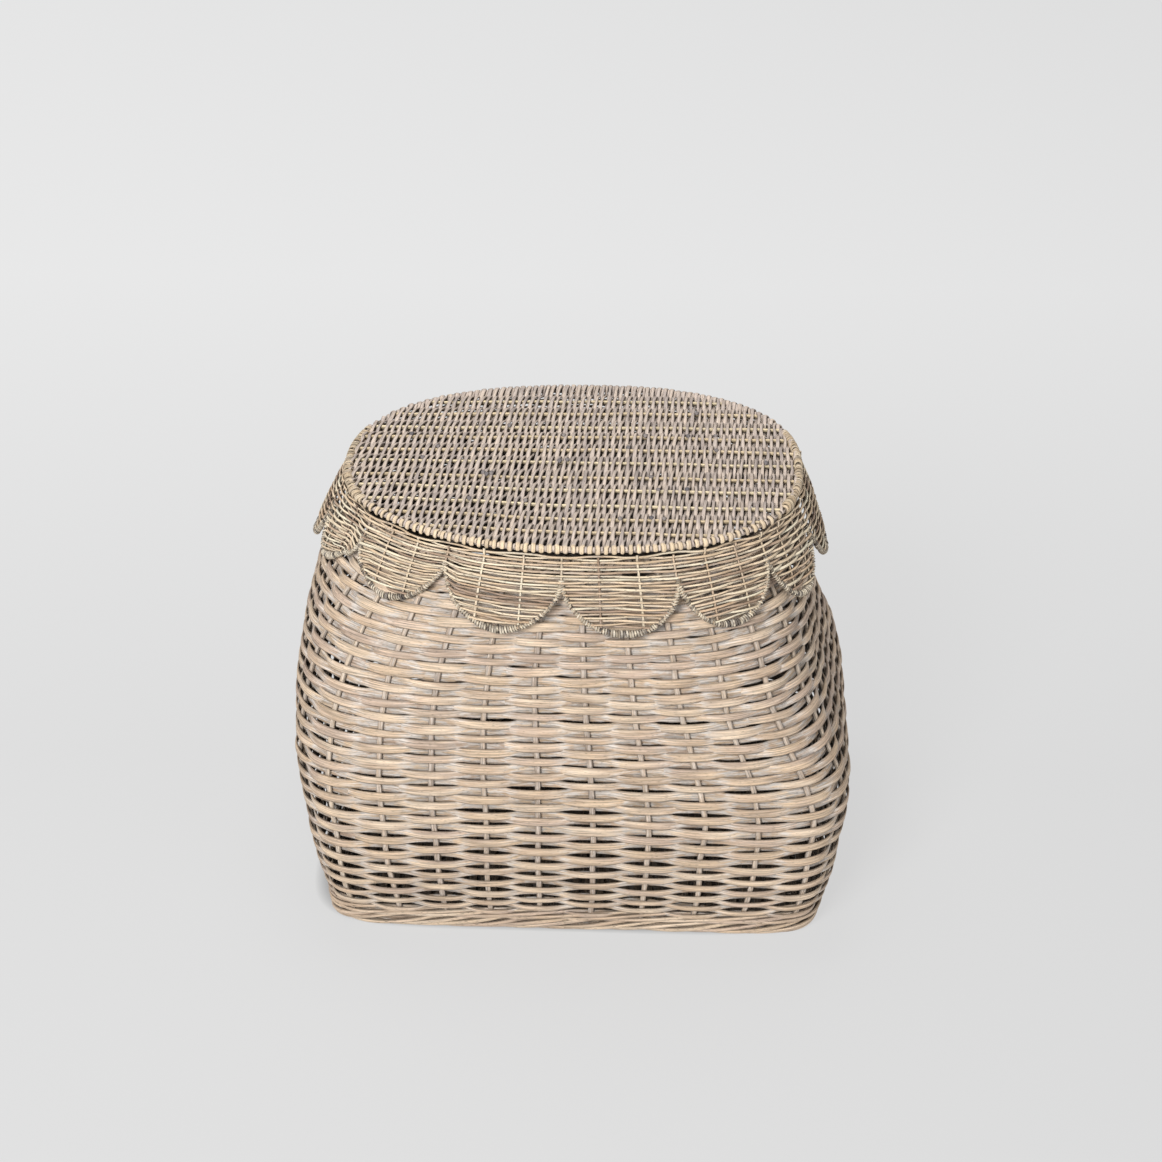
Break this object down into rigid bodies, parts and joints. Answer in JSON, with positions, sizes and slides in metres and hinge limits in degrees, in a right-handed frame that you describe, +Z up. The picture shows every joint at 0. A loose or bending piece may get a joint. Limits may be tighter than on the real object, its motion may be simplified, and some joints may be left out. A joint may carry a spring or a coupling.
{
  "type": "lidded laundry basket",
  "caption": "Woven willow laundry basket with a bulging wall, an oval lift-off lid and a flared skirt with a scalloped edge.",
  "frame": {"origin": "on the floor, in the middle of the base", "axes": "+Z up, +X along the width, the front faces -Y"},
  "size_m": [0.5062, 0.3948, 0.38],
  "materials": {
    "body_willow": "matt bleached willow, washed grey",
    "stake_willow": "matt pale willow rods",
    "lid_willow": "matt grey-brown willow",
    "lid_rod_willow": "matt straw-coloured rods",
    "lashing_willow": "matt straw-coloured lashing",
    "skirt_willow": "matt fine willow strands"
  },
  "bodies": {
    "basket": {"foot_border": "body_willow", "base_panel": "body_willow", "base_stick_1": "stake_willow", "base_stick_2": "stake_willow", "base_stick_3": "stake_willow", "base_stick_4": "stake_willow", "base_stick_5": "stake_willow", "side_weave": "body_willow", "wall_stake_01": "stake_willow", "wall_stake_02": "stake_willow", "wall_stake_03": "stake_willow", "wall_stake_04": "stake_willow", "wall_stake_05": "stake_willow", "wall_stake_06": "stake_willow", "wall_stake_07": "stake_willow", "wall_stake_08": "stake_willow", "wall_stake_09": "stake_willow", "wall_stake_10": "stake_willow", "wall_stake_11": "stake_willow", "wall_stake_12": "stake_willow", "wall_stake_13": "stake_willow", "wall_stake_14": "stake_willow", "wall_stake_15": "stake_willow", "wall_stake_16": "stake_willow", "wall_stake_17": "stake_willow", "wall_stake_18": "stake_willow", "wall_stake_19": "stake_willow", "wall_stake_20": "stake_willow", "wall_stake_21": "stake_willow", "wall_stake_22": "stake_willow", "wall_stake_23": "stake_willow", "wall_stake_24": "stake_willow", "wall_stake_25": "stake_willow", "wall_stake_26": "stake_willow", "wall_stake_27": "stake_willow", "wall_stake_28": "stake_willow", "wall_stake_29": "stake_willow", "wall_stake_30": "stake_willow", "wall_stake_31": "stake_willow", "wall_stake_32": "stake_willow", "wall_stake_33": "stake_willow", "wall_stake_34": "stake_willow", "mouth_hoop": "body_willow"},
    "lid": {"lid_panel": "lid_willow", "lid_rod_01": "lid_rod_willow", "lid_rod_02": "lid_rod_willow", "lid_rod_03": "lid_rod_willow", "lid_rod_04": "lid_rod_willow", "lid_rod_05": "lid_rod_willow", "lid_rod_06": "lid_rod_willow", "lid_rod_07": "lid_rod_willow", "lid_rod_08": "lid_rod_willow", "lid_rod_09": "lid_rod_willow", "lid_rod_10": "lid_rod_willow", "lid_rod_11": "lid_rod_willow", "lid_hoop": "lashing_willow", "skirt_weave": "skirt_willow", "scallop_edge": "lashing_willow"}
  },
  "joints": [
    {"name": "lid_lift", "type": "slide", "parent": "basket", "child": "lid", "axis": [0, 0, 1], "range_m": [0, 0.25]}
  ]
}
